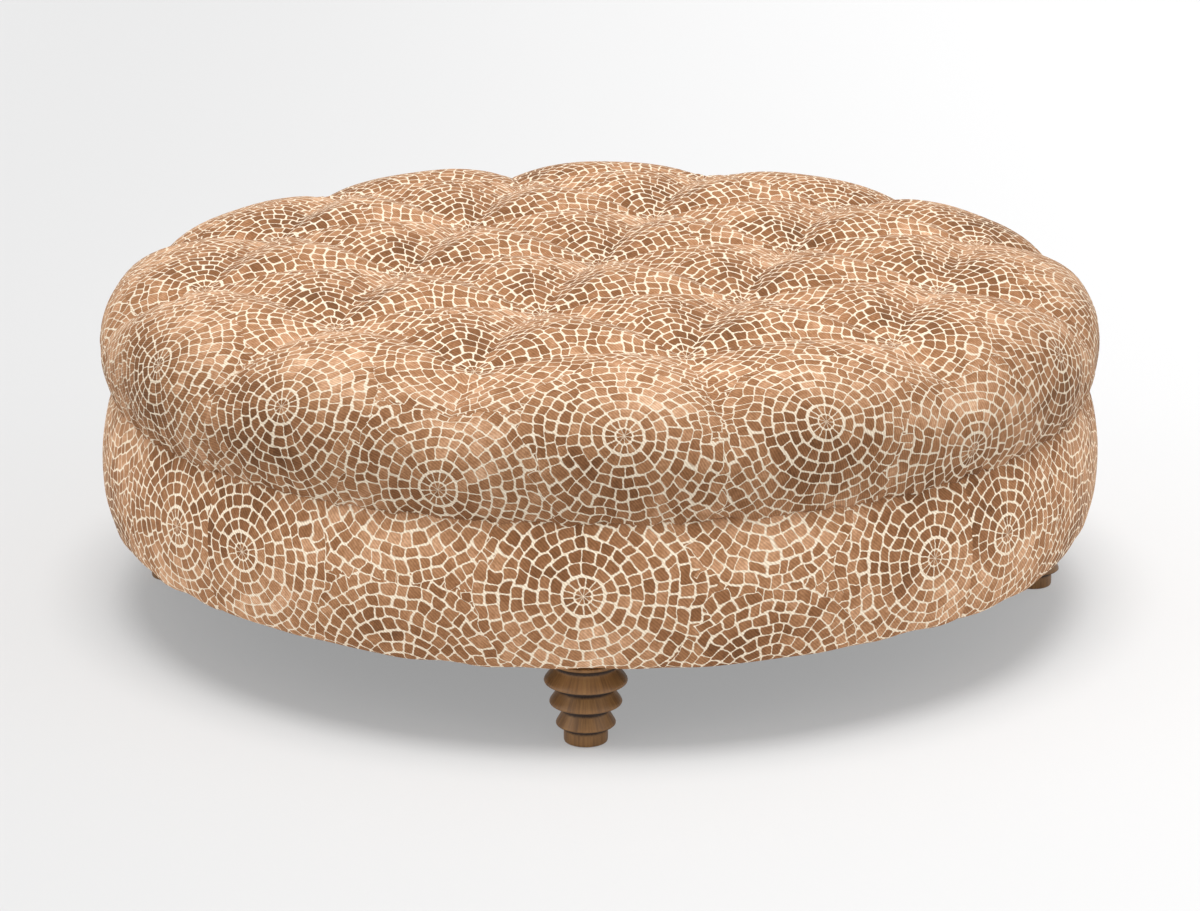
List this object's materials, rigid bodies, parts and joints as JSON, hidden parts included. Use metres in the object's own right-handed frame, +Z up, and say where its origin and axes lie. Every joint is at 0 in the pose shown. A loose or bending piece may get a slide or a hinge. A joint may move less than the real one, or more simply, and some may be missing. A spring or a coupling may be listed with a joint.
{
  "type": "tuffet",
  "caption": "Round low tufted tuffet with a crowned seat, a drawn-in waist and turned wooden legs.",
  "frame": {"origin": "on the floor under the centre of the round seat", "axes": "+Z up; +X along the rows of tufts; the legs stand on the diagonals between X and Y"},
  "size_m": [1.2, 1.2, 0.4303],
  "materials": {
    "upholstery": "woven cloth printed with a mosaic of brown tiles and cream joints",
    "foam": "open-cell upholstery foam",
    "plywood": "raw birch plywood",
    "softwood": "planed softwood",
    "hardboard": "raw bent hardboard",
    "leg_wood": "turned hardwood, brown stain, satin",
    "steel": "zinc-plated steel",
    "nylon": "dark moulded nylon",
    "cambric": "black non-woven dust cloth",
    "card": "upholsterer's card strip",
    "twine": "waxed tufting twine"
  },
  "bodies": {
    "root": {"seat_cover": "upholstery", "base_cover": "upholstery", "seat_foam": "foam", "base_padding": "foam", "seat_deck": "plywood", "frame_top_ring": "plywood", "base_deck": "plywood", "tack_strip": "card", "dust_cover": "cambric", "side_panel_1": "hardboard", "side_panel_2": "hardboard", "side_panel_3": "hardboard", "side_panel_4": "hardboard", "frame_post_1": "softwood", "frame_post_2": "softwood", "frame_post_3": "softwood", "frame_post_4": "softwood", "frame_post_5": "softwood", "frame_post_6": "softwood", "frame_post_7": "softwood", "frame_post_8": "softwood", "leg_block_1": "softwood", "leg_block_2": "softwood", "leg_block_3": "softwood", "leg_block_4": "softwood", "leg_1": "leg_wood", "leg_2": "leg_wood", "leg_3": "leg_wood", "leg_4": "leg_wood", "glide_1": "nylon", "glide_2": "nylon", "glide_3": "nylon", "glide_4": "nylon", "t_nut_1": "steel", "t_nut_2": "steel", "t_nut_3": "steel", "t_nut_4": "steel", "hanger_bolt_1": "steel", "hanger_bolt_2": "steel", "hanger_bolt_3": "steel", "hanger_bolt_4": "steel", "tuft_tie_1": "twine", "tuft_tie_2": "twine", "tuft_tie_3": "twine", "tuft_tie_4": "twine", "tuft_tie_5": "twine", "tuft_tie_6": "twine", "tuft_tie_7": "twine", "tuft_tie_8": "twine", "tuft_tie_9": "twine", "tuft_tie_10": "twine", "tuft_tie_11": "twine", "tuft_tie_12": "twine", "tuft_tie_13": "twine", "tuft_tie_14": "twine", "tuft_tie_15": "twine", "tuft_tie_16": "twine", "tuft_tie_17": "twine", "tuft_tie_18": "twine", "tuft_tie_19": "twine"}
  },
  "joints": []
}
